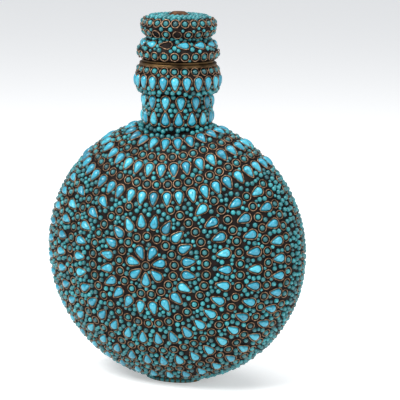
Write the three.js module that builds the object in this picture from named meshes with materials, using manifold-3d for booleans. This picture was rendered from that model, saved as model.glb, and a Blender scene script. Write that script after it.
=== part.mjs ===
// A stone-set pilgrim flask with a lift-off lid. The belly is two dished brass halves round a horizontal
// axis, with a brass neck, collar and foot. A coat of lac covers the brass, and cabochons are set on it
// in courses: a seven-petalled rosette on each face, two rings round it, and bands on rim, neck and lid.
// Millimetres, +Z up, origin under the middle of the foot, the faces towards -Y and +Y.
import * as THREE from "three";
import { mergeVertices } from "three/addons/utils/BufferGeometryUtils.js";
import Module from "manifold-3d";

const wasm = await Module();
wasm.setup();

// belly
const bellyHalfWidth = 69;
const bellyHalfDepth = 42;
const footDepth = 2.5;
const bellyCentre = footDepth + bellyHalfWidth;
const wall = 1.2;
const bellySides = 28;
const bellyArcSteps = 6;

// layers over the brass
const seatGap = 0.3;
const lacThickness = 1.6;
const stripThickness = 0.5;
const lacInner = seatGap;
const lacOuter = lacInner + lacThickness;
const stripInner = lacOuter + seatGap;
const stripOuter = stripInner + stripThickness;

// cabochons
const dropLength = 6.6;
const dropWidth = 4.4;
const dropHeight = 1.6;
const roundWidth = 4.6;
const roundHeight = 1.1;
const stoneRoot = 0.3;
const dropSides = 5;
const roundSides = 6;
const stripMargin = 0.7;

// faces
const petalCount = 7;
const petalRadius = 7.6;
const innerCourseCount = 20;
const innerCourseRadius = 23;
const outerCourseCount = 30;
const outerCourseRadius = 40.3;
const bezelWall = 0.6;
const bezelHeight = 1.1;
const bezelSides = 6;
const centreWidth = 3.4;

// rim courses, from near the neck to near the foot
const rimStoneCount = 15;
const rimTopAngle = 24;
const rimBottomAngle = 156;
const rimStripWidth = 5.2;

// foot
const footHalfWidth = 15;
const footHalfDepth = 10;
const footSides = 24;

// neck, collar and mouth
const boreRadius = 15.2;
const neckLacThickness = 1.2;
const neckRootDepth = 9;
const turnedSides = 20;
const courseHalf = dropLength / 2 + stripMargin;
const bellyTop = bellyCentre + bellyHalfWidth;
const neckBottom = bellyTop - neckRootDepth;
const neckLowerHeight = bellyTop + courseHalf;
const neckUpperHeight = neckLowerHeight + 2 * courseHalf + seatGap;
const collarGap = 0.8;
const collarHeight = 13.4;
const collarBottom = neckUpperHeight + courseHalf + collarGap;
const neckTop = collarBottom + collarHeight;
const collarRadius = 24.2;
const mouthRingRadius = 20.4;
const collarEndRadius = mouthRingRadius;
const mouthRingThickness = 1.8;
const neckUpperCount = 14;
const neckLowerCount = 16;
const collarStoneCount = 22;

// lid
const mouthTop = neckTop + seatGap + mouthRingThickness;
const plugPlate = 0.8;
const flangeRadius = 23.5;
const plateInset = 4.3;
const flangeRise = 3.9;
const waistRise = 11.3;
const knobRise = 7;
const crownRise = 6.6;
const knobCourseDrop = 0.8;
const flangeBottom = mouthTop + 2 * seatGap + plugPlate;
const flangeWidest = flangeBottom + flangeRise;
const waistHeight = flangeBottom + waistRise;
const waistRadius = 17.4;
const knobRadius = 21.6;
const knobWidest = waistHeight + knobRise;
const lidTop = knobWidest + crownRise;
const lidStoneRelief = 1.9;
const plugLength = 13;
const plugClearance = 0.3;
const flangeStoneCount = 13;
const emptySetting = 0;
const knobStoneCount = 18;
const knobCourseHeight = knobWidest - knobCourseDrop;
const bossRadius = 5.6;

const neckOuter = boreRadius + wall;
const neckLacInner = neckOuter + seatGap;
const neckLacOuter = neckLacInner + neckLacThickness;

const finishes = {
  brass: { color: 0xa8813f, roughness: 0.42, metalness: 1 },
  bezelBrass: { color: 0xb9925a, roughness: 0.4, metalness: 1 },
  lac: { color: 0x1d1512, roughness: 0.75, metalness: 0 },
  wornLac: { color: 0x5a3620, roughness: 0.7, metalness: 0 },
  turquoise: { color: 0x2fa9bd, roughness: 0.3, metalness: 0 },
};

const jar = new THREE.Group();

// A closed three.js geometry as a solid that can be cut and joined.
function solidOf(geometry) {
  const bare = geometry.clone();
  bare.deleteAttribute("normal");
  bare.deleteAttribute("uv");
  const merged = mergeVertices(bare, 1e-4);
  const index = merged.index.array;
  const kept = [];
  for (let i = 0; i < index.length; i += 3) {
    const [a, b, c] = [index[i], index[i + 1], index[i + 2]];
    if (a !== b && b !== c && c !== a) kept.push(a, b, c);
  }
  const vertProperties = merged.attributes.position.array;
  return new wasm.Manifold(new wasm.Mesh({ numProp: 3, vertProperties, triVerts: new Uint32Array(kept) }));
}

function geometryOf(solid) {
  const mesh = solid.getMesh();
  const geometry = new THREE.BufferGeometry();
  geometry.setAttribute("position", new THREE.BufferAttribute(mesh.vertProperties, 3));
  geometry.setIndex(new THREE.BufferAttribute(mesh.triVerts, 1));
  geometry.computeVertexNormals();
  return geometry;
}

function addPiece(name, solid, finish) {
  const mesh = new THREE.Mesh(geometryOf(solid), new THREE.MeshStandardMaterial(finishes[finish]));
  mesh.name = name;
  jar.add(mesh);
}

// A solid of revolution round the vertical axis, from [radius, height] points.
function turned(points, sides = turnedSides) {
  const profile = points.map(([radius, height]) => new THREE.Vector2(radius, height));
  profile.push(profile[0].clone());
  return solidOf(new THREE.LatheGeometry(profile, sides).rotateX(Math.PI / 2));
}

function ring(inner, outer, bottom, top, sides = turnedSides) {
  return turned([[inner, bottom], [outer, bottom], [outer, top], [inner, top]], sides);
}

function rod(radius, bottom, top, sides = turnedSides) {
  const height = top - bottom;
  const cylinder = new THREE.CylinderGeometry(radius, radius, height, sides);
  return solidOf(cylinder.rotateX(Math.PI / 2).translate(0, 0, bottom + height / 2));
}

// How far a turned solid's flat facets stand in from its true circle, as a share of the radius.
function facetShare(angle, sides) {
  const step = (2 * Math.PI) / sides;
  const along = ((angle % step) + step) % step;
  return Math.cos(step / 2) / Math.cos(along - step / 2);
}

// The belly's section at an offset from the brass: x is the distance from its horizontal axis.
function bellyPoint(offset, angle) {
  const x = (bellyHalfWidth + offset) * Math.cos(angle);
  const y = (bellyHalfDepth + offset) * Math.sin(angle);
  return new THREE.Vector2(x, y);
}

function bellyArc(offset, from, to, steps = bellyArcSteps) {
  const points = [];
  for (let i = 0; i <= steps; i++) points.push(bellyPoint(offset, from + ((to - from) * i) / steps));
  return points;
}

function bellyTurned(profile, sides = bellySides) {
  return solidOf(new THREE.LatheGeometry(profile, sides).translate(0, 0, bellyCentre));
}

// One half of a layer over the belly, closed on the axis at its pole and open at the seam.
function halfLayer(inner, outer) {
  const seamAngle = (offset) => Math.asin(seatGap / 2 / (bellyHalfDepth + offset));
  const pole = Math.PI / 2;
  const outside = bellyArc(outer, seamAngle(outer), pole);
  const inside = bellyArc(inner, pole, seamAngle(inner));
  outside.at(-1).x = 0;
  inside[0].x = 0;
  const profile = [...outside, ...inside, outside[0].clone()];
  return bellyTurned(profile);
}

// The whole belly at an offset, used to seat what stands on it.
function bellySolid(offset) {
  const points = bellyArc(offset, -Math.PI / 2, Math.PI / 2, 2 * bellyArcSteps);
  points[0].x = 0;
  points.at(-1).x = 0;
  return bellyTurned(points);
}

const toFront = (solid) => solid.rotate([0, 0, 180]);

function ovalFoot(margin, bottom, top) {
  const oval = new THREE.Shape();
  oval.absellipse(0, 0, footHalfWidth + margin, footHalfDepth + margin, 0, 2 * Math.PI);
  const settings = { depth: top - bottom, bevelEnabled: false, curveSegments: footSides };
  return solidOf(new THREE.ExtrudeGeometry(oval, settings).translate(0, 0, bottom));
}

// A domed stone: a turned dome whose +X side is drawn out to a point, standing on z = 0.
function cabochon(length, width, height, sides = dropSides) {
  const profile = [[0, 0], [1, 0], [0.82, 0.62], [0, 1]].map(([r, h]) => new THREE.Vector2(r, h));
  const dome = new THREE.LatheGeometry(profile, sides, Math.PI / 2).rotateX(Math.PI / 2);
  const tip = length - width / 2;
  const places = dome.attributes.position;
  for (let i = 0; i < places.count; i++) {
    const x = places.getX(i);
    const y = places.getY(i);
    const alongTip = Math.max(x, 0);
    const narrowed = y * (1 - (0.35 * alongTip * (length - width)) / width);
    places.setXYZ(i, x > 0 ? x * tip : (x * width) / 2, (narrowed * width) / 2, places.getZ(i) * height);
  }
  return solidOf(dome);
}

// Carries a solid made at the origin to a place, with its +Z along up and its +X along ahead.
function placed(solid, place, up, ahead) {
  const z = up.clone().normalize();
  const x = ahead.clone().addScaledVector(z, -ahead.dot(z)).normalize();
  const y = new THREE.Vector3().crossVectors(z, x);
  const columns = [x, y, z, place].map((v) => [...v.toArray(), 0]);
  columns[3][3] = 1;
  return solid.transform(columns.flat());
}

// A place on the back face's layer, at a distance from the belly's axis and an angle round it.
function faceSpot(radius, angle, offset) {
  const halfWidth = bellyHalfWidth + offset;
  const halfDepth = bellyHalfDepth + offset;
  const outward = new THREE.Vector3(Math.cos(angle), 0, Math.sin(angle));
  const depth = halfDepth * Math.sqrt(1 - (radius / halfWidth) ** 2);
  const place = outward.clone().multiplyScalar(radius).add(new THREE.Vector3(0, depth, bellyCentre));
  const up = outward.clone().multiplyScalar(radius / halfWidth ** 2);
  up.y = depth / halfDepth ** 2;
  return { place, up, outward };
}

// A thin ring of lac on a face, between two distances from the belly's axis.
function faceStrip(innerRadius, outerRadius) {
  const point = (radius, offset) => {
    const halfWidth = bellyHalfWidth + offset;
    const depth = (bellyHalfDepth + offset) * Math.sqrt(1 - (radius / halfWidth) ** 2);
    return new THREE.Vector2(radius, depth);
  };
  const corners = [
    point(innerRadius, stripInner), point(outerRadius, stripInner),
    point(outerRadius, stripOuter), point(innerRadius, stripOuter),
  ];
  return bellyTurned([...corners, corners[0].clone()]);
}

// A ring of pointed stones on a face. Their points turn outwards or inwards.
function faceCourse(count, radius, pointsOut) {
  const half = dropLength / 2 + stripMargin;
  let course = faceStrip(radius - half, radius + half);
  const stone = cabochon(dropLength, dropWidth, dropHeight + stoneRoot);
  for (let i = 0; i < count; i++) {
    const angle = (2 * Math.PI * (i + 0.5)) / count;
    const side = pointsOut ? 1 : -1;
    const start = radius - side * (dropLength / 2 - dropWidth / 2);
    const spot = faceSpot(start, angle, stripOuter - stoneRoot);
    course = course.add(placed(stone, spot.place, spot.up, spot.outward.clone().multiplyScalar(side)));
  }
  return course;
}

// A bezel: a wall round a stone's outline, as one stone shape cut from a larger one and levelled.
function bezelCup(length, width, root) {
  const growth = 2 * (bezelWall + seatGap);
  const tall = 6;
  const level = rod(length, -root, bezelHeight, bezelSides);
  const shell = cabochon(length + growth, width + growth, tall, bezelSides).translate([0, 0, -root]);
  const room = cabochon(length + 2 * seatGap, width + 2 * seatGap, tall, bezelSides);
  return shell.intersect(level).subtract(room);
}

function rosette(sideName, toSide) {
  const petalStart = petalRadius + dropLength / 2 - dropWidth / 2;
  const seat = stripOuter;
  let bezels = faceStripDisc(petalRadius + dropLength / 2 + stripMargin);
  const centreSpot = faceSpot(0, 0, seat);
  const centreCup = bezelCup(centreWidth, centreWidth, stripThickness / 2);
  bezels = bezels.add(placed(centreCup, centreSpot.place, centreSpot.up, new THREE.Vector3(1, 0, 0)));
  const centreStone = cabochon(centreWidth, centreWidth, dropHeight, bezelSides).translate([0, 0, seatGap]);
  const centre = placed(centreStone, centreSpot.place, centreSpot.up, new THREE.Vector3(1, 0, 0));
  addPiece(`${sideName}_rosette_centre`, toSide(centre), "turquoise");
  const cup = bezelCup(dropLength, dropWidth, stripThickness / 2);
  const stone = cabochon(dropLength, dropWidth, dropHeight, bezelSides).translate([0, 0, seatGap]);
  for (let i = 0; i < petalCount; i++) {
    const angle = (2 * Math.PI * (i + 0.5)) / petalCount;
    const spot = faceSpot(petalStart, angle, seat);
    const inward = spot.outward.clone().negate();
    bezels = bezels.add(placed(cup, spot.place, spot.up, inward));
    const petal = placed(stone, spot.place, spot.up, inward);
    addPiece(`${sideName}_petal_${i + 1}`, toSide(petal), "turquoise");
  }
  addPiece(`${sideName}_rosette_bezels`, toSide(bezels), "bezelBrass");
}

// The thin backing plate of a rosette, following the belly's curve.
function faceStripDisc(radius) {
  const point = (r, offset) => {
    const depth = (bellyHalfDepth + offset) * Math.sqrt(1 - (r / (bellyHalfWidth + offset)) ** 2);
    return new THREE.Vector2(r, depth);
  };
  const inside = [point(0, stripInner), point(radius / 2, stripInner), point(radius, stripInner)];
  const outside = [point(radius, stripOuter), point(radius / 2, stripOuter), point(0, stripOuter)];
  return bellyTurned([...inside, ...outside]);
}

// Half of the course round the belly's edge, over the seam, from the neck to the foot.
function rimCourse(side) {
  const half = rimStripWidth / 2;
  const edge = (offset, y) => {
    const radius = (bellyHalfWidth + offset) * Math.sqrt(1 - (y / (bellyHalfDepth + offset)) ** 2);
    return new THREE.Vector2(radius, y);
  };
  const inside = [edge(stripInner, half), edge(stripInner, 0), edge(stripInner, -half)];
  const outside = [edge(stripOuter, -half), edge(stripOuter, 0), edge(stripOuter, half)];
  const band = bellyTurned([...inside, ...outside, inside[0].clone()]);
  const reach = 2 * bellyHalfWidth;
  const sector = new THREE.Shape([new THREE.Vector2(0, 0)]);
  const sweep = [rimTopAngle, 60, 90, 120, rimBottomAngle];
  for (const angle of sweep) {
    const turn = THREE.MathUtils.degToRad(angle);
    sector.lineTo(side * reach * Math.sin(turn), reach * Math.cos(turn));
  }
  const block = new THREE.ExtrudeGeometry(sector, { depth: 4 * half, bevelEnabled: false });
  const wedge = solidOf(block.rotateX(Math.PI / 2).translate(0, 2 * half, bellyCentre));
  let course = band.intersect(wedge);
  const stone = cabochon(roundWidth, roundWidth, roundHeight + stoneRoot, roundSides);
  for (let i = 0; i < rimStoneCount; i++) {
    const share = (i + 0.5) / rimStoneCount;
    const turn = THREE.MathUtils.degToRad(rimTopAngle + (rimBottomAngle - rimTopAngle) * share);
    const outward = new THREE.Vector3(side * Math.sin(turn), 0, Math.cos(turn));
    const facet = facetShare(turn, bellySides);
    const place = outward.clone().multiplyScalar((bellyHalfWidth + stripOuter) * facet - stoneRoot);
    place.z += bellyCentre;
    course = course.add(placed(stone, place, outward, new THREE.Vector3(0, 1, 0)));
  }
  return course;
}

const dropStone = { length: dropLength, width: dropWidth, height: dropHeight, sides: dropSides };
const roundStone = { length: roundWidth, width: roundWidth, height: roundHeight, sides: roundSides };

// A band of stones round the vertical axis. lean is its slope outwards and turn is the angle from
// level to which the points are turned, both in radians. skip leaves one setting without its stone.
function bandCourse({ count, radius, height, lean = 0, turn = 0, kind = dropStone, skip = -1 }) {
  const reach = (Math.abs(Math.sin(turn)) > 0.5 ? kind.length : kind.width) / 2 + stripMargin;
  const across = new THREE.Vector2(Math.sin(lean), Math.cos(lean)).multiplyScalar(reach);
  const out = new THREE.Vector2(Math.cos(lean), -Math.sin(lean)).multiplyScalar(stripThickness);
  let course = turned([
    [radius - across.x, height - across.y],
    [radius - across.x + out.x, height - across.y + out.y],
    [radius + across.x + out.x, height + across.y + out.y],
    [radius + across.x, height + across.y],
  ]);
  const stone = cabochon(kind.length, kind.width, kind.height + stoneRoot, kind.sides);
  for (let i = 0; i < count; i++) {
    if (i === skip) continue;
    const fromFront = (2 * Math.PI * i) / count;
    const outward = new THREE.Vector3(Math.sin(fromFront), -Math.cos(fromFront), 0);
    const sideways = new THREE.Vector3(Math.cos(fromFront), Math.sin(fromFront), 0);
    const up = outward.clone().multiplyScalar(Math.cos(lean));
    up.z = -Math.sin(lean);
    const rise = outward.clone().multiplyScalar(Math.sin(lean));
    rise.z = Math.cos(lean);
    const ahead = sideways.multiplyScalar(Math.cos(turn)).addScaledVector(rise, Math.sin(turn));
    const place = outward.clone().multiplyScalar(radius * facetShare(fromFront, turnedSides));
    place.z = height;
    place.addScaledVector(up, stripThickness - stoneRoot);
    place.addScaledVector(ahead, -(kind.length - kind.width) / 2);
    course = course.add(placed(stone, place, up, ahead));
  }
  return course;
}

// The collar's bulging outline at an inward offset from its stones.
function collarCurve(offset, steps = 6) {
  const middle = (collarBottom + neckTop) / 2;
  const half = (neckTop - collarBottom) / 2;
  const points = [];
  for (let i = 0; i <= steps; i++) {
    const angle = (-0.5 + i / steps) * Math.PI * 0.86;
    const radius = collarEndRadius + (collarRadius - collarEndRadius) * Math.cos(angle) - offset;
    points.push([radius, middle + (half * Math.sin(angle)) / Math.sin(Math.PI * 0.43)]);
  }
  return points;
}

// The lid's two-tiered outline at an inward offset from its stones, from its lower edge to its top.
function lidCurve(offset, from = 0, to = Infinity) {
  const points = [];
  for (const degrees of [-70, -20, 20, 55, 85]) {
    const angle = THREE.MathUtils.degToRad(degrees);
    const low = (flangeWidest - flangeBottom) / Math.sin(THREE.MathUtils.degToRad(70));
    const high = waistHeight - flangeWidest;
    const radius = waistRadius + (flangeRadius - waistRadius) * Math.cos(angle);
    points.push([radius - offset, flangeWidest + (angle < 0 ? low : high) * Math.sin(angle)]);
  }
  for (const degrees of [-62, -25, 15]) {
    const angle = THREE.MathUtils.degToRad(degrees);
    const low = knobWidest - waistHeight;
    const radius = waistRadius + (knobRadius - waistRadius) * Math.cos(angle);
    points.push([radius - offset, knobWidest + (angle < 0 ? low : low - offset) * Math.sin(angle)]);
  }
  const crown = lidTop - offset - knobWidest;
  for (const degrees of [45, 68]) {
    const angle = THREE.MathUtils.degToRad(degrees);
    points.push([(knobRadius - offset) * Math.cos(angle) ** 0.7, knobWidest + crown * Math.sin(angle)]);
  }
  points.push([0, lidTop - offset]);
  return points.slice(from, to);
}

function makeBelly() {
  const neckHole = rod(neckOuter + seatGap, bellyCentre, neckTop);
  const half = halfLayer(-wall, 0).subtract(neckHole);
  addPiece("back_shell", half, "brass");
  addPiece("front_shell", toFront(half), "brass");
  const footRoom = ovalFoot(seatGap, -wall, bellyCentre / 2);
  const coat = halfLayer(lacInner, lacOuter).subtract(neckHole).subtract(footRoom);
  addPiece("back_lac_coat", coat, "lac");
  addPiece("front_lac_coat", toFront(coat), "lac");
  addPiece("foot", ovalFoot(0, 0, bellyCentre / 2).subtract(bellySolid(seatGap)), "brass");
}

function makeFaces() {
  const sides = { front: toFront, back: (solid) => solid };
  for (const [sideName, toSide] of Object.entries(sides)) {
    rosette(sideName, toSide);
    const inner = faceCourse(innerCourseCount, innerCourseRadius, true);
    const outer = faceCourse(outerCourseCount, outerCourseRadius, false);
    addPiece(`${sideName}_inner_course`, toSide(inner), "turquoise");
    addPiece(`${sideName}_outer_course`, toSide(outer), "turquoise");
  }
  addPiece("left_rim_course", rimCourse(-1), "turquoise");
  addPiece("right_rim_course", rimCourse(1), "turquoise");
}

function makeNeck() {
  addPiece("neck_tube", ring(boreRadius, neckOuter, neckBottom, neckTop), "brass");
  const coat = ring(neckLacInner, neckLacOuter, bellyCentre, collarBottom - seatGap);
  addPiece("neck_lac_coat", coat.subtract(bellySolid(stripInner)), "lac");
  const stripRadius = neckLacOuter + seatGap;
  const pointed = { up: Math.PI / 2, down: -Math.PI / 2 };
  const upper = { count: neckUpperCount, radius: stripRadius, height: neckUpperHeight, turn: pointed.down };
  const lower = { count: neckLowerCount, radius: stripRadius, height: neckLowerHeight, turn: pointed.up };
  addPiece("neck_upper_course", bandCourse(upper), "turquoise");
  addPiece("neck_lower_course", bandCourse(lower), "turquoise");
}

function makeCollar() {
  const lacOut = dropHeight + stripThickness + seatGap;
  const bandOut = lacOut + neckLacThickness + seatGap;
  const band = [[neckLacInner, collarBottom], ...collarCurve(bandOut), [neckLacInner, neckTop]];
  addPiece("collar_band", turned(band), "brass");
  const outside = collarCurve(lacOut);
  const inside = collarCurve(bandOut - seatGap).reverse();
  addPiece("collar_lac_coat", turned([...outside, ...inside]), "lac");
  const middle = (collarBottom + neckTop) / 2;
  const radius = collarRadius - dropHeight - stripThickness;
  const course = bandCourse({ count: collarStoneCount, radius, height: middle, turn: -Math.PI / 2 });
  addPiece("collar_course", course, "turquoise");
  const ringBottom = neckTop + seatGap;
  addPiece("mouth_ring", ring(boreRadius, mouthRingRadius, ringBottom, mouthTop), "brass");
}

function makeLid() {
  const lacOut = lidStoneRelief;
  const brassOut = lacOut + lacThickness + seatGap;
  const outside = lidCurve(lacOut);
  const inside = lidCurve(lacOut + lacThickness).reverse();
  addPiece("lid_lac_coat", turned([...outside, ...inside]), "lac");
  const flangePoints = 5;
  const flangeInside = lidCurve(brassOut + wall, 0, flangePoints).reverse();
  const flange = [...lidCurve(brassOut, 0, flangePoints), ...flangeInside];
  addPiece("lid_flange", turned(flange), "brass");
  const knob = [...lidCurve(brassOut, flangePoints), ...lidCurve(brassOut + wall, flangePoints).reverse()];
  addPiece("lid_knob", turned(knob), "brass");
  const plugRadius = boreRadius - plugClearance;
  const seat = mouthTop + seatGap;
  const plugBottom = mouthTop - plugLength;
  const flangeSeat = flangeBottom - seatGap;
  const plug = [
    [0, plugBottom], [plugRadius, plugBottom], [plugRadius, seat], [flangeRadius - plateInset, seat],
    [flangeRadius - plateInset, flangeSeat], [plugRadius - wall, flangeSeat],
    [plugRadius - wall, plugBottom + wall], [0, plugBottom + wall],
  ];
  addPiece("lid_plug", turned(plug), "brass");
  const lacTop = lidTop - lacOut;
  const bossSeat = lacTop + seatGap;
  const boss = turned([[0, bossSeat], [bossRadius, bossSeat], [0.6 * bossRadius, lidTop], [0, lidTop]]);
  addPiece("lid_top_boss", boss, "wornLac");
  const [low, high] = lidCurve(lacOut, 2, 4);
  const slope = new THREE.Vector2(high[0] - low[0], high[1] - low[1]);
  const lean = Math.atan2(slope.x, slope.y);
  const flangeStones = {
    count: flangeStoneCount,
    radius: (low[0] + high[0]) / 2 + seatGap * Math.cos(lean),
    height: (low[1] + high[1]) / 2 - seatGap * Math.sin(lean),
    lean,
    turn: Math.PI,
    skip: emptySetting,
  };
  addPiece("lid_flange_course", bandCourse(flangeStones), "turquoise");
  const knobStones = {
    count: knobStoneCount,
    radius: knobRadius - lacOut + seatGap,
    height: knobCourseHeight,
    kind: roundStone,
  };
  addPiece("lid_knob_course", bandCourse(knobStones), "turquoise");
}

makeBelly();
makeFaces();
makeNeck();
makeCollar();
makeLid();

export default jar;
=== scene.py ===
import math
import random

import bmesh
import bpy
from mathutils import Matrix, Vector


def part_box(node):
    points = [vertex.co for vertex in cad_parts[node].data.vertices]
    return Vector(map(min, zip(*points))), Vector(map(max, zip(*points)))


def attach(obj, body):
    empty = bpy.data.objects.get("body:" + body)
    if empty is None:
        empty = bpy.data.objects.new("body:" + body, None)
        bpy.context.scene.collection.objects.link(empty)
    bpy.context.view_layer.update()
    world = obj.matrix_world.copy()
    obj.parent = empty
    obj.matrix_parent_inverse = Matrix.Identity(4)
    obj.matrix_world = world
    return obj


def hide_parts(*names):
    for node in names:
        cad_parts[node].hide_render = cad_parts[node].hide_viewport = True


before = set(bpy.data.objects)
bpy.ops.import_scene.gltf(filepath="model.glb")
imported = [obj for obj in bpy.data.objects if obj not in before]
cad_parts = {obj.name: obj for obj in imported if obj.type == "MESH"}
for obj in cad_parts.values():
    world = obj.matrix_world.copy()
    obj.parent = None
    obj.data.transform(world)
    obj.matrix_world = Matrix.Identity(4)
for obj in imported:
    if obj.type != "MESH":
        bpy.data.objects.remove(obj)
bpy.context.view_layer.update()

mm = 0.001
dice = random.Random(11)
alongSurface, againstSurface = 0.0, math.pi  # the two ways in which a stone's point can lie


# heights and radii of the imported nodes, in millimetres
def span(node):
    low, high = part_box(node)
    return low[2] / mm, high[2] / mm


def widest(node):
    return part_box(node)[1][0] / mm


def middleHeight(node):
    return sum(span(node)) / 2


bellyRadius = widest("front_lac_coat")
bellyDepth = -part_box("front_lac_coat")[0][1] / mm
bellyCentre = middleHeight("front_outer_course")
neckRadius = widest("neck_lac_coat")


# a profile of (radius, along) points turned round a line, with its outside on the right of its way
class Turned:
    def __init__(self, profile, toWorld):
        self.profile = profile
        self.toWorld = toWorld
        self.lengths = [0.0]
        for (r0, z0), (r1, z1) in zip(profile, profile[1:]):
            self.lengths.append(self.lengths[-1] + math.hypot(r1 - r0, z1 - z0))
        self.total = self.lengths[-1]

    def pointAt(self, s):
        s = min(max(s, 0.0), self.total)
        for i in range(len(self.profile) - 1):
            if s <= self.lengths[i + 1] or i == len(self.profile) - 2:
                step = self.lengths[i + 1] - self.lengths[i]
                share = (s - self.lengths[i]) / step
                (r0, z0), (r1, z1) = self.profile[i], self.profile[i + 1]
                return r0 + (r1 - r0) * share, z0 + (z1 - z0) * share

    # the spot at a length along the profile and an angle round it, with the ways out and ahead
    def place(self, s, angle):
        reach = 0.6  # a slope is read over this much to each side
        r, z = self.pointAt(s)
        rBack, zBack = self.pointAt(s - reach)
        rOn, zOn = self.pointAt(s + reach)
        along = Vector((rOn - rBack, zOn - zBack)).normalized()
        spot = self.toWorld(Vector((r * math.sin(angle), -r * math.cos(angle), z)), False)
        outward = Vector((along.y * math.sin(angle), -along.y * math.cos(angle), -along.x))
        ahead = Vector((along.x * math.sin(angle), -along.x * math.cos(angle), along.y))
        return spot, self.toWorld(outward, True), self.toWorld(ahead, True)

    def lengthAtHeight(self, height, steps=400):
        last = steps - 1
        best = min(range(steps), key=lambda i: abs(self.pointAt(self.total * i / last)[1] - height))
        return self.total * best / last

    def lengthAtRadius(self, radius, steps=400):
        best = min(range(steps), key=lambda i: abs(self.pointAt(self.total * i / steps)[0] - radius))
        return self.total * best / steps


# three ways to stand a turned form: round the neck's line, or round the belly's, to the front or the back
def upright(v, isDirection):
    return v.copy()


def frontFace(v, isDirection):
    turned = Vector((v.x, -v.z, -v.y))
    return turned if isDirection else turned + Vector((0, 0, bellyCentre))


def backFace(v, isDirection):
    turned = Vector((-v.x, v.z, -v.y))
    return turned if isDirection else turned + Vector((0, 0, bellyCentre))


# many copies of small shapes in one mesh, with a tone of its own for each copy
class Heap:
    def __init__(self, name):
        self.name = name
        self.points = []
        self.faces = []
        self.tones = []

    def add(self, shape, where, tone):
        points, faces = shape
        first = len(self.points)
        self.points += [tuple(where @ Vector(p)) for p in points]
        self.faces += [tuple(first + i for i in face) for face in faces]
        self.tones += [tone] * len(points)

    def make(self, finish, body, slot, nodes=()):
        mesh = bpy.data.meshes.new(self.name)
        mesh.from_pydata([tuple(c * mm for c in p) for p in self.points], [], self.faces)
        mesh.validate()
        tone = mesh.attributes.new("tone", "FLOAT", "POINT")
        tone.data.foreach_set("value", self.tones)
        finishPiece(self.name, mesh, finish, body, nodes)


def finishPiece(name, mesh, finish, body, nodes):
    for face in mesh.polygons:
        face.use_smooth = True
    mesh.materials.append(finish)
    piece = bpy.data.objects.new(name, mesh)
    bpy.context.collection.objects.link(piece)
    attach(piece, body)
    if nodes:
        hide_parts(*nodes)


# a closed skin over rings of points of equal count, from the bottom ring to the top
def stacked(rings):
    points = [p for ring in rings for p in ring]
    n = len(rings[0])
    faces = []
    for level in range(len(rings) - 1):
        for i in range(n):
            a, b = level * n + i, level * n + (i + 1) % n
            faces.append((a, b, b + n, a + n))
    faces.append(tuple(reversed(range(n))))
    faces.append(tuple((len(rings) - 1) * n + i for i in range(n)))
    return points, faces


# a pear outline round the origin, its point towards +X
def dropOutline(length, width, count, narrowing=0.42):
    outline = []
    roundEnd = width / 2
    tip = length - roundEnd
    for i in range(count):
        t = 2 * math.pi * i / count
        x, y = math.cos(t), math.sin(t)
        if x > 0:
            outline.append((x * tip, y * roundEnd * (1 - narrowing * x)))
        else:
            outline.append((x * roundEnd, y * roundEnd))
    return [(x - (length - width) / 2, y) for x, y in outline]


def circle(radius, count):
    turns = [2 * math.pi * i / count for i in range(count)]
    return [(radius * math.cos(t), radius * math.sin(t)) for t in turns]


def dome(outline, height, levels=4, sink=0.5, crown=0.12, fullness=0.8):
    rings = [[(x, y, -sink) for x, y in outline]]
    for level in range(levels):
        t = level / levels * math.pi / 2
        size = math.cos(t) ** fullness
        rings.append([(x * size, y * size, height * math.sin(t)) for x, y in outline])
    rings.append([(x * crown, y * crown, height) for x, y in outline])
    return stacked(rings)


# a wire that follows an outline; twist swells it into the beads of a twisted wire
def wireRound(outline, thickness, lift, twist=0.0, sides=5):
    n = len(outline)
    points, faces = [], []
    for i in range(n):
        x, y = outline[i]
        xBack, yBack = outline[i - 1]
        xOn, yOn = outline[(i + 1) % n]
        out = Vector((yOn - yBack, xBack - xOn)).normalized()
        girth = thickness / 2 * (1 + (twist if i % 2 else -twist))
        for k in range(sides):
            t = 2 * math.pi * k / sides
            side = girth * math.cos(t)
            points.append((x + out.x * side, y + out.y * side, lift + girth * math.sin(t)))
    for i in range(n):
        for k in range(sides):
            a, b = i * sides + k, i * sides + (k + 1) % sides
            c, d = ((i + 1) % n) * sides + (k + 1) % sides, ((i + 1) % n) * sides + k
            faces.append((a, d, c, b))
    return points, faces


# a closed outline of (radius, along) points turned into one smooth skin
def lathed(name, profile, toWorld, sides=96, onLine=1e-6):
    skin = bmesh.new()
    rings = []
    for r, z in profile:
        if r < onLine:
            rings.append([skin.verts.new(toWorld(Vector((0, 0, z)), False) * mm)])
            continue
        turns = [2 * math.pi * i / sides for i in range(sides)]
        row = [toWorld(Vector((r * math.sin(t), -r * math.cos(t), z)), False) * mm for t in turns]
        rings.append([skin.verts.new(p) for p in row])
    for here, there in zip(rings, rings[1:] + rings[:1]):
        for i in range(sides):
            corners = [here[i % len(here)], here[(i + 1) % len(here)]]
            corners += [there[(i + 1) % len(there)], there[i % len(there)]]
            unique = list(dict.fromkeys(corners))
            if len(unique) > 2:
                skin.faces.new(unique)
    bmesh.ops.recalc_face_normals(skin, faces=skin.faces)
    mesh = bpy.data.meshes.new(name)
    skin.to_mesh(mesh)
    skin.free()
    return mesh


def turnedPiece(name, profile, finish, body, node, toWorld=upright):
    finishPiece(name, lathed(name, profile, toWorld), finish, body, [node])


# finishes
def newFinish(name):
    finish = bpy.data.materials.new(name)
    finish.use_nodes = True
    nodes = finish.node_tree.nodes
    return finish, nodes, finish.node_tree.links, nodes["Principled BSDF"]


def noise(nodes, links, scale, detail=6.0):
    place = nodes.new("ShaderNodeTexCoord")
    texture = nodes.new("ShaderNodeTexNoise")
    texture.inputs["Scale"].default_value = scale
    texture.inputs["Detail"].default_value = detail
    links.new(place.outputs["Object"], texture.inputs["Vector"])
    return texture


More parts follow.
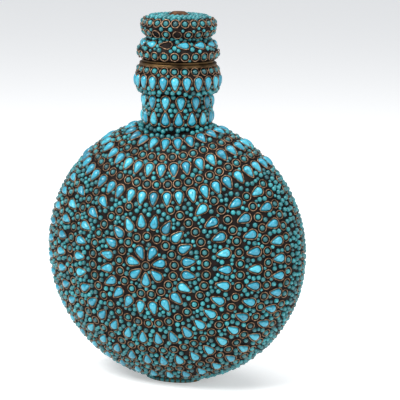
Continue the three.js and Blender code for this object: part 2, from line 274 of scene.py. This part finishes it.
def ramp(nodes, stops):
    scale = nodes.new("ShaderNodeValToRGB")
    elements = scale.color_ramp.elements
    while len(elements) < len(stops):
        elements.new(0.5)
    for element, (position, color) in zip(elements, stops):
        element.position = position
        element.color = (*color, 1)
    return scale


def addBump(nodes, links, shader, texture, strength, distance):
    bump = nodes.new("ShaderNodeBump")
    bump.inputs["Strength"].default_value = strength
    bump.inputs["Distance"].default_value = distance
    links.new(texture.outputs[0], bump.inputs["Height"])
    links.new(bump.outputs["Normal"], shader.inputs["Normal"])


veinLook = {"scale": 520.0, "from": 0.36, "to": 0.44, "color": (0.25, 0.3, 0.3), "strength": 0.55}
polish = {"coat": 0.25, "coatRoughness": 0.2, "bump": 0.15, "depth": 0.0001}


# each stone takes its own tone between dark and light, with darker matrix veins over it
def turquoiseFinish(name, look):
    finish, nodes, links, shader = newFinish(name)
    tone = nodes.new("ShaderNodeAttribute")
    tone.attribute_name = "tone"
    body = ramp(nodes, [(0.0, look["dark"]), (0.5, look["middle"]), (1.0, look["light"])])
    links.new(tone.outputs["Fac"], body.inputs["Fac"])
    cloud = noise(nodes, links, veinLook["scale"])
    veins = ramp(nodes, [(veinLook["from"], veinLook["color"]), (veinLook["to"], (1, 1, 1))])
    links.new(cloud.outputs["Fac"], veins.inputs["Fac"])
    mix = nodes.new("ShaderNodeMix")
    mix.data_type = "RGBA"
    mix.blend_type = "MULTIPLY"
    mix.inputs["Factor"].default_value = veinLook["strength"]
    links.new(body.outputs["Color"], mix.inputs["A"])
    links.new(veins.outputs["Color"], mix.inputs["B"])
    links.new(mix.outputs["Result"], shader.inputs["Base Color"])
    shader.inputs["Roughness"].default_value = look["roughness"]
    shader.inputs["Coat Weight"].default_value = polish["coat"]
    shader.inputs["Coat Roughness"].default_value = polish["coatRoughness"]
    addBump(nodes, links, shader, cloud, polish["bump"], polish["depth"])
    return finish


metalWear = {"from": 0.35, "to": 0.62, "smoother": 0.12, "rougher": 0.2, "bump": 0.2, "depth": 0.0002}


# metal in darker and lighter patches, with a roughness that changes with them
def metalFinish(name, look):
    finish, nodes, links, shader = newFinish(name)
    cloud = noise(nodes, links, look["scale"])
    color = ramp(nodes, [(metalWear["from"], look["dark"]), (metalWear["to"], look["light"])])
    links.new(cloud.outputs["Fac"], color.inputs["Fac"])
    links.new(color.outputs["Color"], shader.inputs["Base Color"])
    shader.inputs["Metallic"].default_value = 1.0
    worn = nodes.new("ShaderNodeMapRange")
    worn.inputs["To Min"].default_value = look["roughness"] - metalWear["smoother"]
    worn.inputs["To Max"].default_value = look["roughness"] + metalWear["rougher"]
    links.new(cloud.outputs["Fac"], worn.inputs["Value"])
    links.new(worn.outputs["Result"], shader.inputs["Roughness"])
    addBump(nodes, links, shader, cloud, metalWear["bump"], metalWear["depth"])
    return finish


lacGrain = {
    "scale": 260.0, "detail": 9.0, "from": 0.38, "to": 0.68,
    "roughness": 0.68, "specular": 0.12, "bump": 0.6, "depth": 0.0005,
}


def lacFinish(name, look):
    finish, nodes, links, shader = newFinish(name)
    cloud = noise(nodes, links, lacGrain["scale"], lacGrain["detail"])
    color = ramp(nodes, [(lacGrain["from"], look["dark"]), (lacGrain["to"], look["light"])])
    links.new(cloud.outputs["Fac"], color.inputs["Fac"])
    links.new(color.outputs["Color"], shader.inputs["Base Color"])
    shader.inputs["Roughness"].default_value = lacGrain["roughness"]
    shader.inputs["Specular IOR Level"].default_value = lacGrain["specular"]
    addBump(nodes, links, shader, cloud, lacGrain["bump"], lacGrain["depth"])
    return finish


dropLook = {
    "dark": (0.012, 0.17, 0.25), "middle": (0.02, 0.27, 0.38), "light": (0.06, 0.42, 0.52),
    "roughness": 0.3,
}
beadLook = {
    "dark": (0.004, 0.065, 0.075), "middle": (0.009, 0.15, 0.165), "light": (0.022, 0.28, 0.31),
    "roughness": 0.32,
}
bezelLook = {"dark": (0.06, 0.032, 0.02), "light": (0.4, 0.25, 0.155), "roughness": 0.4, "scale": 700.0}
brassLook = {"dark": (0.03, 0.018, 0.009), "light": (0.17, 0.1, 0.04), "roughness": 0.48, "scale": 90.0}
darkLacLook = {"dark": (0.003, 0.0025, 0.0025), "light": (0.014, 0.008, 0.006)}
wornLacLook = {"dark": (0.035, 0.016, 0.008), "light": (0.16, 0.075, 0.035)}
dropFinish = turquoiseFinish("dropStone", dropLook)
beadFinish = turquoiseFinish("beadStone", beadLook)
bezelFinish = metalFinish("bezelWire", bezelLook)
brassFinish = metalFinish("agedBrass", brassLook)
lacBed = lacFinish("darkLac", darkLacLook)
wornLac = lacFinish("wornLac", wornLacLook)
print("finishes made")

# the stones and their wires, in millimetres, lying on their bed with the point towards +X;
# a need is the free room that a stone asks for, a hold is the room that it then keeps,
# and a tone is the middle and the spread of the stones' tones
drop = {
    "length": 6.7, "width": 4.1, "height": 1.75, "points": 16,
    "wire": 0.52, "gap": 0.38, "twist": 0.25, "wirePoints": 32, "wireLift": 0.35,
    "needRound": 1.9, "needTip": 1.2, "holdRound": 2.75, "holdMiddle": 2.5, "holdTip": 1.5, "tipReach": 1.6,
    "tone": (0.55, 0.2),
}
setRound = {
    "radius": 1.35, "height": 1.25, "points": 10, "levels": 3,
    "bezel": 2.25, "wire": 0.46, "wirePoints": 16, "wireLift": 0.3, "need": 2.1, "hold": 2.5,
    "tone": (0.4, 0.22),
}
bead = {  # made at a radius of 1 and scaled; its need and pitch are shares of the radius
    "sizes": (1.3, 1.05, 0.85), "height": 0.95, "points": 8, "levels": 3, "sink": 0.4,
    "need": 0.97, "pitch": 2.06, "tone": (0.55, 0.25),
}
stoneLift = 0.05


def dropShapes():
    outer = drop["wire"] + 2 * drop["gap"]
    stone = dome(dropOutline(drop["length"], drop["width"], drop["points"]), drop["height"])
    path = dropOutline(drop["length"] + outer, drop["width"] + outer, drop["wirePoints"])
    return stone, wireRound(path, drop["wire"], drop["wireLift"], drop["twist"])


def roundShapes():
    edge = circle(setRound["radius"], setRound["points"])
    path = circle(setRound["bezel"], setRound["wirePoints"])
    stone = dome(edge, setRound["height"], setRound["levels"])
    return stone, wireRound(path, setRound["wire"], setRound["wireLift"])


dropStone, dropWire = dropShapes()
roundStone, roundWire = roundShapes()
beadStone = dome(circle(1.0, bead["points"]), bead["height"], bead["levels"], bead["sink"])
stoneKinds = ("Drops", "DropBezels", "Rounds", "RoundBezels", "Beads")


# the stones set on one part of the flask, kept apart from each other
class Crust:
    def __init__(self, label, body):
        self.label = label
        self.body = body
        self.heaps = {kind: Heap(label + kind) for kind in stoneKinds}
        self.taken = {}
        self.cell = 4.0  # the taken places are looked up by cells of this side, in millimetres

    def cellOf(self, spot):
        return tuple(math.floor(c / self.cell) for c in spot)

    def claim(self, spot, radius):
        self.taken.setdefault(self.cellOf(spot), []).append((spot.copy(), radius))

    def isFree(self, spot, radius):
        a, b, c = self.cellOf(spot)
        for i in (a - 1, a, a + 1):
            for j in (b - 1, b, b + 1):
                for k in (c - 1, c, c + 1):
                    for other, size in self.taken.get((i, j, k), ()):
                        if (other - spot).length < size + radius:
                            return False
        return True

    def stand(self, spot, outward, ahead, size=1.0):
        z = outward.normalized()
        x = (ahead - z * ahead.dot(z)).normalized()
        y = z.cross(x)
        turn = Matrix((x, y, z)).transposed().to_4x4()
        return Matrix.Translation(spot + z * stoneLift) @ turn @ Matrix.Diagonal((size, size, size, 1))

    def setDrop(self, spot, outward, ahead, size=1.0, empty=False):
        half = (drop["length"] - drop["width"]) / 2 * size
        roundEnd, tip = spot - ahead * half, spot + ahead * half
        isRoundFree = self.isFree(roundEnd, drop["needRound"] * size)
        if not isRoundFree or not self.isFree(tip, drop["needTip"] * size):
            return
        where = self.stand(spot, outward, ahead, size)
        self.heaps["DropBezels"].add(dropWire, where, dice.random())
        if not empty:
            self.heaps["Drops"].add(dropStone, where, dice.gauss(*drop["tone"]))
        self.claim(roundEnd, drop["holdRound"] * size)
        self.claim(spot, drop["holdMiddle"] * size)
        self.claim(spot + ahead * half * drop["tipReach"], drop["holdTip"] * size)

    def setRoundStone(self, spot, outward, ahead, empty=False):
        if not self.isFree(spot, setRound["need"]):
            return
        where = self.stand(spot, outward, ahead)
        self.heaps["RoundBezels"].add(roundWire, where, dice.random())
        if not empty:
            self.heaps["Rounds"].add(roundStone, where, dice.gauss(*setRound["tone"]))
        self.claim(spot, setRound["hold"])

    def setBead(self, spot, outward, ahead, radius):
        if not self.isFree(spot, radius * bead["need"]):
            return
        where = self.stand(spot, outward, ahead, radius)
        self.heaps["Beads"].add(beadStone, where, dice.gauss(*bead["tone"]))
        self.claim(spot, radius)

    # turn is the way of the points, from the surface's own way; empty lists the settings without a stone
    def dropRow(self, surface, s, count, turn, phase=0.0, empty=(), keep=None, size=1.0):
        for i in range(count):
            spot, outward, ahead = surface.place(s, 2 * math.pi * (i + phase) / count)
            if keep and not keep(spot):
                continue
            sideways = outward.cross(ahead)
            heading = ahead * math.cos(turn) + sideways * math.sin(turn)
            self.setDrop(spot, outward, heading, size, i in empty)

    def roundRow(self, surface, s, count, empty=(), keep=None):
        for i in range(count):
            spot, outward, ahead = surface.place(s, 2 * math.pi * i / count)
            if not keep or keep(spot):
                self.setRoundStone(spot, outward, ahead, i in empty)

    def beadRow(self, surface, s, radius):
        count = max(3, int(2 * math.pi * surface.pointAt(s)[0] / (bead["pitch"] * radius)))
        for i in range(count):
            self.setBead(*surface.place(s, 2 * math.pi * i / count), radius)

    # fills what is left with beads thrown at random, the largest first
    def fill(self, surface, sFrom, sTo, tries, keep=None):
        widestRadius = max(r for r, _ in surface.profile)
        for radius in bead["sizes"]:
            for _ in range(tries):
                s = dice.uniform(sFrom, sTo)
                if dice.random() * widestRadius > surface.pointAt(s)[0]:
                    continue
                spot, outward, ahead = surface.place(s, dice.uniform(0, 2 * math.pi))
                if not keep or keep(spot):
                    self.setBead(spot, outward, ahead, radius)

    def make(self, dropNodes, roundNodes, bezelNodes=()):
        self.heaps["Drops"].make(dropFinish, self.body, "turquoise", dropNodes)
        self.heaps["Rounds"].make(beadFinish, self.body, "turquoise", roundNodes)
        self.heaps["Beads"].make(beadFinish, self.body, "turquoise")
        self.heaps["DropBezels"].make(bezelFinish, self.body, "bezel_brass", bezelNodes)
        self.heaps["RoundBezels"].make(bezelFinish, self.body, "bezel_brass")
        print(self.label, "stones set")


# belly: a coat of lac in two halves
coat = {"depth": 1.6, "seam": 0.1, "steps": 60}


def bellyProfile():
    steps = coat["steps"]
    quarter = [math.pi / 2 * i / steps for i in range(steps)]
    return [(bellyRadius * math.cos(t), bellyDepth * math.sin(t)) for t in quarter] + [(0.0, bellyDepth)]


def bellyCoat():
    outside = bellyProfile()
    innerShare = (1 - coat["depth"] / bellyRadius, 1 - coat["depth"] / bellyDepth)
    inside = [(r * innerShare[0], z * innerShare[1]) for r, z in outside[::-1]]
    outline = [(r, max(z, coat["seam"])) for r, z in outside + inside]
    turnedPiece("frontBed", outline, lacBed, "flask", "front_lac_coat", frontFace)
    turnedPiece("backBed", outline, lacBed, "flask", "back_lac_coat", backFace)


bellyCoat()
print("lac laid on the belly")

# belly: where its stones may stand
bellyFaces = {"front": Turned(bellyProfile(), frontFace), "back": Turned(bellyProfile(), backFace)}
neckPoint = Vector((0, 0, bellyCentre + bellyRadius))
footPoint = Vector((0, 0, bellyCentre - bellyRadius))
room = {"foot": 17.5, "footBeads": 1.0, "garlands": 58.0, "neck": 0.8}
belly = Crust("belly", "flask")


def isOnFace(spot):
    return (spot - neckPoint).length > room["garlands"] and (spot - footPoint).length > room["foot"]


def isOpen(spot):
    isOffNeck = math.hypot(spot.x, spot.y) > neckRadius + room["neck"] or spot.z < bellyCentre
    return isOffNeck and (spot - footPoint).length > room["foot"] - room["footBeads"]


def bellyAt(sideways, forward, fall, isFront):
    sign = -1 if isFront else 1
    across = math.sin(fall)
    x = bellyRadius * across * sideways
    y = sign * bellyDepth * across * forward
    return Vector((x, y, bellyCentre + bellyRadius * math.cos(fall)))


# the place on the shoulder at a straight distance from the neck's foot, angle from straight down
def shoulderSpot(reach, angle, isFront, halvings=30):
    near, far = 0.0, math.pi
    sideways = math.sin(angle)
    forward = math.cos(angle)
    for _ in range(halvings):
        middle = (near + far) / 2
        if (bellyAt(sideways, forward, middle, isFront) - neckPoint).length < reach:
            near = middle
        else:
            far = middle
    spot = bellyAt(sideways, forward, near, isFront)
    rise = spot.z - bellyCentre
    outward = Vector((spot.x / bellyRadius ** 2, spot.y / bellyDepth ** 2, rise / bellyRadius ** 2))
    return spot, outward.normalized()


garlands = [
    {"reach": 25.5, "kind": "drop"}, {"reach": 32.8, "kind": "round"}, {"reach": 39.5, "kind": "drop"},
    {"reach": 46.5, "kind": "round"}, {"reach": 53.2, "kind": "drop"},
]
garlandPitch = {"drop": 6.7, "round": 5.6}


# a row on the shoulder at one distance from the neck, its points hanging down
def garland(row, isFront, steps=240):
    pitch = garlandPitch[row["kind"]]
    gone = pitch
    previous = None
    for i in range(steps + 1):
        side = (i / steps - 0.5) * 2
        spot, outward = shoulderSpot(row["reach"], side * math.pi / 2, isFront)
        if previous is not None:
            gone += (spot - previous).length
        previous = spot
        if gone < pitch:
            continue
        gone -= pitch
        away = spot - neckPoint
        ahead = (away - outward * away.dot(outward)).normalized()
        if row["kind"] == "drop":
            belly.setDrop(spot, outward, ahead)
        else:
            belly.setRoundStone(spot, outward, ahead)


rosette = {"petals": 7, "petalRadius": 7.4, "rounds": 17, "roundsRadius": 15.3}
courses = [
    {"radius": 23.0, "drops": 20, "turn": againstSurface, "rounds": 34, "roundsRadius": 31.6},
    {"radius": 40.3, "drops": 30, "turn": alongSurface, "rounds": 50, "roundsRadius": 47.6},
    {"radius": 54.0, "drops": 38, "turn": alongSurface, "rounds": 62, "roundsRadius": 59.6},
    {"radius": 63.9, "drops": 44, "turn": alongSurface, "rounds": 70, "roundsRadius": 67.3},
]
rim = {"rounds": 74, "along": 0.01}
bellyTries = 15000
halfStep = 0.5  # a row of drops starts half a stone's pitch round


def courseDrops(surface, course, keep=None):
    s = surface.lengthAtRadius(course["radius"])
    belly.dropRow(surface, s, course["drops"], course["turn"], halfStep, keep=keep)


def setFaces():
    for surface in bellyFaces.values():
        belly.setRoundStone(*surface.place(surface.total, 0.0))
        petalLength = surface.lengthAtRadius(rosette["petalRadius"])
        belly.dropRow(surface, petalLength, rosette["petals"], alongSurface, halfStep)
        belly.roundRow(surface, surface.lengthAtRadius(rosette["roundsRadius"]), rosette["rounds"])
        courseDrops(surface, courses[0])
    for isFront in (True, False):
        for row in garlands:
            garland(row, isFront)
    for surface in bellyFaces.values():
        for course in courses:
            if course is not courses[0]:
                courseDrops(surface, course, isOnFace)
            roundsLength = surface.lengthAtRadius(course["roundsRadius"])
            belly.roundRow(surface, roundsLength, course["rounds"], keep=isOnFace)


# beads that hide the foot's wall; their pitch is a share of their radius
footBeads = {"pitch": 2.02, "rows": ({"height": 1.25, "radius": 1.2}, {"height": 3.5, "radius": 1.1})}


def setFoot():
    halfWidth, halfDepth = (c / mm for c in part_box("foot")[1][:2])
    for row in footBeads["rows"]:
        count = int(math.pi * (halfWidth + halfDepth) / (footBeads["pitch"] * row["radius"]))
        for i in range(count):
            turn = 2 * math.pi * i / count
            spot = Vector((halfWidth * math.cos(turn), halfDepth * math.sin(turn), row["height"]))
            outward = Vector((math.cos(turn) / halfWidth, math.sin(turn) / halfDepth, 0)).normalized()
            belly.setBead(spot, outward, Vector((0, 0, 1)), row["radius"])


setFaces()
belly.roundRow(bellyFaces["front"], rim["along"], rim["rounds"], keep=isOpen)
for surface in bellyFaces.values():
    belly.fill(surface, 0.0, surface.total, bellyTries, isOpen)
setFoot()
courseNodes = [f"{side}_{course}_course" for side in bellyFaces for course in ("inner", "outer")]
rosetteNodes = [f"{side}_petal_{i + 1}" for side in bellyFaces for i in range(rosette["petals"])]
rosetteNodes += [f"{side}_rosette_centre" for side in bellyFaces]
bezelNodes = [f"{side}_rosette_bezels" for side in bellyFaces]
belly.make(courseNodes + rosetteNodes, ["left_rim_course", "right_rim_course"], bezelNodes)

# neck and collar
neckShape = {"lac": 1.2, "root": 6.0, "collarSwell": 2.9, "collarFullness": 0.7, "collarSteps": 12}
neckRows = {
    "upper": 14, "lower": 16, "beads": 1.25, "underCollar": 1.3, "between": 0.4, "tries": 5000, "clear": 1.2,
    "collarDrops": 22, "collarShift": 0.9, "collarTries": 4000, "collarEdge": 1.0,
    "topRounds": 24, "topInset": 2.6, "bottomRounds": 22, "bottomInset": 2.2,
}


def collarProfile():
    low, high = span("collar_lac_coat")
    wide = widest("collar_lac_coat")
    end = wide - neckShape["collarSwell"]
    fullness = neckShape["collarFullness"]
    points = []
    for i in range(neckShape["collarSteps"] + 1):
        t = i / neckShape["collarSteps"] * math.pi
        height = low + (high - low) * (1 - math.cos(t)) / 2
        points.append((end + (wide - end) * math.sin(t) ** fullness, height))
    return points


def isAboveBelly(spot):
    radius, depth = bellyRadius + neckRows["clear"], bellyDepth + neckRows["clear"]
    across = (spot.x / radius) ** 2 + (spot.y / depth) ** 2
    return spot.z > bellyCentre + radius * math.sqrt(max(0.0, 1 - across))


neckTop = span("neck_lac_coat")[1]
neckFoot = bellyCentre + bellyRadius * math.sqrt(1 - (neckRadius / bellyRadius) ** 2) - neckShape["root"]
neckInner = neckRadius - neckShape["lac"]
neckSkin = [(neckRadius, neckFoot), (neckRadius, neckTop)]
neckOutline = [(neckInner, neckFoot), *neckSkin, (neckInner, neckTop)]
collarSkin = collarProfile()
collarInside = [(r - neckShape["lac"], z) for r, z in collarSkin[::-1]]
turnedPiece("neckBed", neckOutline, lacBed, "flask", "neck_lac_coat")
turnedPiece("collarBed", collarSkin + collarInside, lacBed, "flask", "collar_lac_coat")


def setNeck():
    tube, collar = Turned(neckSkin, upright), Turned(collarSkin, upright)
    neck = Crust("neck", "flask")
    upper, lower = middleHeight("neck_upper_course"), middleHeight("neck_lower_course")
    collarMiddle = collar.lengthAtHeight(middleHeight("collar_course"))
    neck.dropRow(tube, tube.lengthAtHeight(upper), neckRows["upper"], againstSurface)
    neck.dropRow(tube, tube.lengthAtHeight(lower), neckRows["lower"], alongSurface)
    neck.roundRow(collar, collar.total - neckRows["topInset"], neckRows["topRounds"])
    neck.dropRow(collar, collarMiddle - neckRows["collarShift"], neckRows["collarDrops"], againstSurface)
    neck.roundRow(collar, neckRows["bottomInset"], neckRows["bottomRounds"])
    for height in (neckTop - neckRows["underCollar"], (upper + lower) / 2 + neckRows["between"]):
        neck.beadRow(tube, tube.lengthAtHeight(height), neckRows["beads"])
    neck.fill(tube, 0, tube.total, neckRows["tries"], isAboveBelly)
    neck.fill(collar, neckRows["collarEdge"], collar.total - neckRows["collarEdge"], neckRows["collarTries"])
    neck.make(["neck_upper_course", "neck_lower_course", "collar_course"], [])


setNeck()

# bare brass at the mouth, made round
brassRing = {"wall": 1.2, "corner": 0.25}


def ringPiece(name, node, inner):
    low, high = span(node)
    outer = widest(node)
    corner = brassRing["corner"]
    profile = [
        (inner, low), (outer - corner, low), (outer, low + corner),
        (outer, high - corner), (outer - corner, high), (inner + corner, high), (inner, high - corner),
    ]
    turnedPiece(name, profile, brassFinish, "flask", node)


boreRadius = widest("neck_tube") - brassRing["wall"]
ringPiece("neckBore", "neck_tube", boreRadius)
ringPiece("mouthRim", "mouth_ring", boreRadius)
print("mouth made")

# lid, by points of (inset from the widest point of its tier, height): the flange's and waist's heights are
# from the lid's lower edge, the knob's from its row of stones, and the crown's are down from the top
lidShape = {
    "flange": ((3.2, 0.0), (0.9, 1.3), (0.0, 3.9), (0.6, 6.0), (2.4, 8.6), (4.4, 10.5)),
    "waistInset": 5.6, "waistHeight": 11.4, "shelfInset": 2.2, "shelfRise": 1.3,
    "knob": ((0.5, -2.4), (0.0, 0.0), (0.2, 2.0), (1.6, 4.0)),
    "crown": ((4.4, 0.75), (8.5, 0.2)),
    "lac": 1.5, "topLac": 1.3, "knobStone": 1.6, "crownInset": 3,
}
lidRows = {
    "rimRounds": 24, "rimHeight": 3.0, "flangeDrops": 13, "flangeEmpty": (0,), "flangeSize": 0.9,
    "knobRounds": 24, "knobRise": 2.3, "lowRounds": 20, "lowFall": 3.2, "lowEmpty": (1, 19),
    "middleBeads": 1.2, "middleFall": 0.5, "waistBeads": 1.1, "waistRise": 0.4,
    "topBeads": 1.25, "topRows": 3, "topInset": 1.3, "topPitch": 2.7, "bareTop": 8.0,
    "tries": 6000, "edge": 1.8,
}
lidLow, lidHigh = span("lid_lac_coat")
flangeWide = widest("lid_lac_coat")
knobWide = widest("lid_knob_course") - lidShape["knobStone"]
knobRow = middleHeight("lid_knob_course")
waistHeight = lidLow + lidShape["waistHeight"]


def lidProfile():
    points = [(flangeWide - inset, lidLow + height) for inset, height in lidShape["flange"]]
    points.append((flangeWide - lidShape["waistInset"], waistHeight))
    points.append((knobWide - lidShape["shelfInset"], waistHeight + lidShape["shelfRise"]))
    points += [(knobWide - inset, knobRow + height) for inset, height in lidShape["knob"]]
    points += [(knobWide - inset, lidHigh - fall) for inset, fall in lidShape["crown"]]
    return softened(points + [(0.0, lidHigh)])


# cuts the corners of an outline, by a share of each side, and keeps its ends
def softened(points, rounds=2, near=0.25):
    far = 1 - near
    for _ in range(rounds):
        cut = [points[0]]
        for (r0, z0), (r1, z1) in zip(points, points[1:]):
            cut.append((r0 * far + r1 * near, z0 * far + z1 * near))
            cut.append((r0 * near + r1 * far, z0 * near + z1 * far))
        cut.append(points[-1])
        points = cut
    return points


def lidOutline(skin):
    lac = lidShape["lac"]
    inside = []
    for r, z in skin[-2:0:-1]:
        isCrown = r < knobWide - lidShape["crownInset"] and z > knobRow
        inside.append((max(r - lac, 0.0), z - (lidShape["topLac"] if isCrown else 0.0)))
    return skin + inside + [(skin[0][0] - lac, skin[0][1])]


def isOffTop(spot):
    return math.hypot(spot.x, spot.y) > lidRows["bareTop"] or spot.z < knobRow


def setLid(surface):
    lid = Crust("lid", "lid")
    flangeLength = surface.lengthAtHeight(middleHeight("lid_flange_course"))
    flangeKind = {"empty": lidRows["flangeEmpty"], "size": lidRows["flangeSize"]}
    lid.roundRow(surface, surface.lengthAtHeight(lidLow + lidRows["rimHeight"]), lidRows["rimRounds"])
    lid.dropRow(surface, flangeLength, lidRows["flangeDrops"], math.pi / 2, **flangeKind)
    lid.roundRow(surface, surface.lengthAtHeight(knobRow + lidRows["knobRise"]), lidRows["knobRounds"])
    lowLength = surface.lengthAtHeight(knobRow - lidRows["lowFall"])
    lid.roundRow(surface, lowLength, lidRows["lowRounds"], lidRows["lowEmpty"])
    lid.beadRow(surface, surface.lengthAtHeight(knobRow - lidRows["middleFall"]), lidRows["middleBeads"])
    lid.beadRow(surface, surface.lengthAtHeight(waistHeight + lidRows["waistRise"]), lidRows["waistBeads"])
    topLength = surface.total - lidRows["bareTop"]
    for row in range(lidRows["topRows"]):
        lid.beadRow(surface, topLength - lidRows["topInset"] - row * lidRows["topPitch"], lidRows["topBeads"])
    lid.fill(surface, lidRows["edge"], topLength, lidRows["tries"], isOffTop)
    lid.make(["lid_flange_course"], ["lid_knob_course"])


lidSkin = lidProfile()
turnedPiece("lidBed", lidOutline(lidSkin), lacBed, "lid", "lid_lac_coat")
setLid(Turned(lidSkin, upright))


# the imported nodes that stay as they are
def recolor(node, finish):
    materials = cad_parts[node].data.materials
    materials.clear()
    materials.append(finish)


for node in ("front_shell", "back_shell", "foot", "collar_band", "lid_flange", "lid_knob", "lid_plug"):
    recolor(node, brassFinish)
recolor("lid_top_boss", wornLac)
print("lid made")

# floor
floorLook = {"reach": 30.0, "color": (0.78, 0.78, 0.77, 1), "roughness": 0.8, "glow": 0.4}


def makeFloor():
    reach = floorLook["reach"]
    corners = [(-reach, -reach, 0), (reach, -reach, 0), (reach, reach, 0), (-reach, reach, 0)]
    mesh = bpy.data.meshes.new("floor")
    mesh.from_pydata(corners, [], [(0, 1, 2, 3)])
    finish, _, _, shader = newFinish("paleFloor")
    shader.inputs["Base Color"].default_value = floorLook["color"]
    shader.inputs["Roughness"].default_value = floorLook["roughness"]
    shader.inputs["Emission Color"].default_value = (1, 1, 1, 1)
    shader.inputs["Emission Strength"].default_value = floorLook["glow"]
    mesh.materials.append(finish)
    floor = bpy.data.objects.new("floor", mesh)
    bpy.context.collection.objects.link(floor)


makeFloor()

# studio: the camera sees a white room, and the object a dimmer one
scene = bpy.context.scene
studio = {"light": (0.4, 0.42, 0.45, 1), "seen": (0.94, 0.94, 0.94, 1)}
world = bpy.data.worlds.new("studio")
scene.world = world
world.use_nodes = True
worldLinks = world.node_tree.links
sky = world.node_tree.nodes["Background"]
rays = world.node_tree.nodes.new("ShaderNodeLightPath")
shade = world.node_tree.nodes.new("ShaderNodeMix")
shade.data_type = "RGBA"
shade.inputs["A"].default_value = studio["light"]
shade.inputs["B"].default_value = studio["seen"]
worldLinks.new(rays.outputs["Is Camera Ray"], shade.inputs["Factor"])
worldLinks.new(shade.outputs["Result"], sky.inputs["Color"])
sky.inputs["Strength"].default_value = 1.0

lamps = {
    "keyLight": {"place": (-0.35, -0.75, 0.95), "size": 0.5, "power": 16},
    "topLight": {"place": (0.2, 0.1, 1.2), "size": 0.8, "power": 8},
    "fillLight": {"place": (1.1, -0.5, 0.5), "size": 0.8, "power": 6},
}
lampAim = Vector((0, 0, 0.1))


def softLight(name, lamp):
    light = bpy.data.lights.new(name, "AREA")
    light.size = lamp["size"]
    light.energy = lamp["power"]
    piece = bpy.data.objects.new(name, light)
    piece.location = lamp["place"]
    piece.rotation_euler = (lampAim - Vector(lamp["place"])).to_track_quat("-Z", "Y").to_euler()
    bpy.context.collection.objects.link(piece)


for name, lamp in lamps.items():
    softLight(name, lamp)

# camera, at the photograph's angle
shot = {
    "azimuth": 19.39, "elevation": 10.65, "roll": 0.933,
    "distance": 0.96625, "aim": (0.0120, 0.0043, 0.0987), "lens": 162.25, "sensor": 36,
}
cameraData = bpy.data.cameras.new("camera")
cameraData.lens = shot["lens"]
cameraData.sensor_width = shot["sensor"]
camera = bpy.data.objects.new("camera", cameraData)
bpy.context.collection.objects.link(camera)
turnUp = Matrix.Rotation(math.radians(90 - shot["elevation"]), 4, "X")
turnRound = Matrix.Rotation(math.radians(shot["azimuth"]), 4, "Z")
turnRoll = Matrix.Rotation(math.radians(shot["roll"]), 4, "Z")
aimed = turnRound @ turnUp @ turnRoll
aimed.translation = Vector(shot["aim"]) + (aimed.to_3x3() @ Vector((0, 0, 1))) * shot["distance"]
camera.matrix_world = aimed
scene.camera = camera
scene.view_settings.view_transform = "Standard"

print("stage set")
